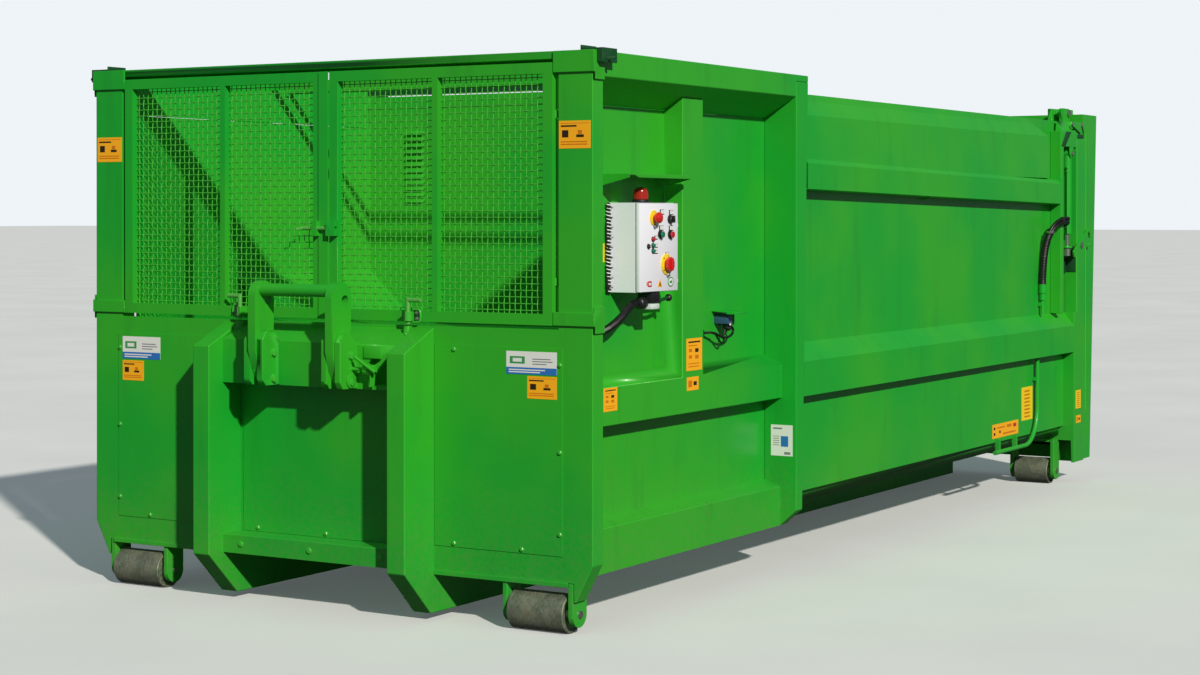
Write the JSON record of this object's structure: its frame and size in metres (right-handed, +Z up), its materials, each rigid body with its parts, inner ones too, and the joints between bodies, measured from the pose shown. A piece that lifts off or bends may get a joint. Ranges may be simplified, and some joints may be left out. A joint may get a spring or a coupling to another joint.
{
  "type": "mobile waste press container",
  "caption": "Green waste compactor container for hook-lift trucks: open hopper with mesh gates, ram press, closed box with top-hung tailgate, skid rails and rollers.",
  "frame": {"origin": "on the ground, at the middle of the overall length and width", "axes": "+X along the length from the hook end to the tailgate, -Y the side with the control cabinet, +Z up"},
  "size_m": [6.1562, 2.64, 2.22],
  "materials": {
    "painted_green": "glossy green coat",
    "mesh_green": "green coated wire",
    "dark_bracket": "dark green coat",
    "bolt_steel": "zinc plated, partly painted over",
    "bright_steel": "turned",
    "roller_steel": "worn bare steel",
    "ram_steel": "worn plate",
    "machine_grey": "dark grey coat",
    "cabinet_grey": "light grey powder coat",
    "red_plastic": "gloss",
    "green_plastic": "gloss",
    "black_plastic": "matt",
    "beacon_red": "clear red dome",
    "cable_black": "matt sheath",
    "black_rubber": "soft profile",
    "label_white": "printed film"
  },
  "bodies": {
    "container": {"corner_posts": "painted_green", "top_frame": "painted_green", "corner_bands": "painted_green", "corner_brackets": "dark_bracket", "front_wall": "painted_green", "service_panel_left": "painted_green", "service_panel_right": "painted_green", "centre_panel": "painted_green", "bolts": "bolt_steel", "skid_rails": "painted_green", "hook_beam": "painted_green", "hook_bow": "painted_green", "front_crossbar": "painted_green", "roller_brackets": "painted_green", "roller_axles": "bright_steel", "hopper_side_left": "painted_green", "hopper_side_right": "painted_green", "press_chamber": "painted_green", "ram_barrels": "machine_grey", "power_pack": "machine_grey", "body_shell": "painted_green", "side_ribs": "painted_green", "rear_frame": "painted_green", "tailgate_pins": "bright_steel", "lock_barrels": "painted_green", "gate_gudgeons": "painted_green", "cabinet_hood": "painted_green", "control_cabinet": "cabinet_grey", "beacon": "beacon_red", "power_inlet": "black_plastic", "inlet_cable": "cable_black", "remote_socket": "dark_bracket", "remote_cable": "cable_black", "cable_duct": "black_plastic", "hydraulic_pipe": "painted_green", "hose_bundle": "cable_black", "labels": "label_white"},
    "wheel_front_left": {"roller_front_left": "roller_steel"},
    "wheel_front_right": {"roller_front_right": "roller_steel"},
    "wheel_rear_left": {"roller_rear_left": "roller_steel"},
    "wheel_rear_right": {"roller_rear_right": "roller_steel"},
    "leaf_left": {"gate_left": "painted_green", "gate_left_mesh": "mesh_green"},
    "leaf_right": {"gate_right": "painted_green", "gate_right_mesh": "mesh_green"},
    "leaf_bolt": {"gate_bolt": "bolt_steel"},
    "leaf_drop_left": {"drop_bolt_left": "bolt_steel"},
    "leaf_drop_right": {"drop_bolt_right": "bolt_steel"},
    "ram": {"press_ram": "ram_steel"},
    "rear_door": {"tailgate": "painted_green", "tailgate_seal": "black_rubber"},
    "lock_lever": {"lock_arms": "painted_green"},
    "lock_push": {"lock_rods": "bright_steel"},
    "panel_door": {"cabinet_door": "cabinet_grey"},
    "stop_mushroom": {"emergency_stop": "red_plastic"},
    "selector": {"selector_switch": "black_plastic"},
    "start": {"start_button": "green_plastic"},
    "stop": {"stop_button": "red_plastic"},
    "mains": {"main_switch": "red_plastic"},
    "lever": {"pull_lever": "painted_green"}
  },
  "joints": [
    {"name": "roller_front_left_turn", "type": "hinge", "parent": "container", "child": "wheel_front_left", "pos_m": [-2.79313, 1.005, 0.075], "axis": [0, 1, 0], "continuous": true},
    {"name": "roller_front_right_turn", "type": "hinge", "parent": "container", "child": "wheel_front_right", "pos_m": [-2.79313, -1.005, 0.075], "axis": [0, 1, 0], "continuous": true},
    {"name": "roller_rear_left_turn", "type": "hinge", "parent": "container", "child": "wheel_rear_left", "pos_m": [2.60687, 1.017, 0.075], "axis": [0, 1, 0], "continuous": true},
    {"name": "roller_rear_right_turn", "type": "hinge", "parent": "container", "child": "wheel_rear_right", "pos_m": [2.60687, -1.017, 0.075], "axis": [0, 1, 0], "continuous": true},
    {"name": "gate_left_swing", "type": "hinge", "parent": "container", "child": "leaf_left", "pos_m": [-2.80313, 1.087, 1.3], "axis": [0, 0, 1], "range_deg": [0, 75]},
    {"name": "gate_right_swing", "type": "hinge", "parent": "container", "child": "leaf_right", "pos_m": [-2.80313, -1.087, 1.3], "axis": [0, 0, -1], "range_deg": [0, 75]},
    {"name": "gate_bolt_slide", "type": "slide", "parent": "leaf_left", "child": "leaf_bolt", "axis": [0, -1, 0], "range_m": [0, 0.04]},
    {"name": "drop_bolt_left_slide", "type": "slide", "parent": "leaf_left", "child": "leaf_drop_left", "axis": [0, 0, -1], "range_m": [0, 0.028]},
    {"name": "drop_bolt_right_slide", "type": "slide", "parent": "leaf_right", "child": "leaf_drop_right", "axis": [0, 0, -1], "range_m": [0, 0.028]},
    {"name": "press_stroke", "type": "slide", "parent": "container", "child": "ram", "axis": [1, 0, 0], "range_m": [0, 0.6]},
    {"name": "tailgate_swing", "type": "hinge", "parent": "container", "child": "rear_door", "pos_m": [2.75687, 0, 2.18], "axis": [0, -1, 0], "range_deg": [0, 95]},
    {"name": "tailgate_lock_turn", "type": "hinge", "parent": "container", "child": "lock_lever", "pos_m": [2.71687, 0, 1.4], "axis": [0, 1, 0], "range_deg": [0, 24]},
    {"name": "tailgate_lock_rod", "type": "slide", "parent": "container", "child": "lock_push", "axis": [0, 0, 1], "range_m": [0, 0.053]},
    {"name": "cabinet_door_swing", "type": "hinge", "parent": "container", "child": "panel_door", "pos_m": [-2.14413, -1.221, 1.45], "axis": [0, 0, 1], "range_deg": [0, 110]},
    {"name": "emergency_stop_press", "type": "slide", "parent": "panel_door", "child": "stop_mushroom", "axis": [0, 1, 0], "range_m": [0, 0.005]},
    {"name": "selector_turn", "type": "hinge", "parent": "panel_door", "child": "selector", "pos_m": [-2.22013, -1.221, 1.565], "axis": [0, 1, 0], "range_deg": [-45, 45]},
    {"name": "start_press", "type": "slide", "parent": "panel_door", "child": "start", "axis": [0, 1, 0], "range_m": [0, 0.005], "stiffness_N_per_m": 400},
    {"name": "stop_press", "type": "slide", "parent": "panel_door", "child": "stop", "axis": [0, 1, 0], "range_m": [0, 0.005], "stiffness_N_per_m": 400},
    {"name": "main_switch_turn", "type": "hinge", "parent": "panel_door", "child": "mains", "pos_m": [-2.24913, -1.221, 1.387], "axis": [0, 1, 0], "range_deg": [0, 90]},
    {"name": "pull_lever_swing", "type": "hinge", "parent": "container", "child": "lever", "pos_m": [-2.98813, -0.323, 0.98], "axis": [0, 1, 0], "range_deg": [0, 35]}
  ],
  "couplings": [
    {"joint": "tailgate_lock_rod", "follows": "tailgate_lock_turn", "m_per_rad": 0.1265}
  ]
}
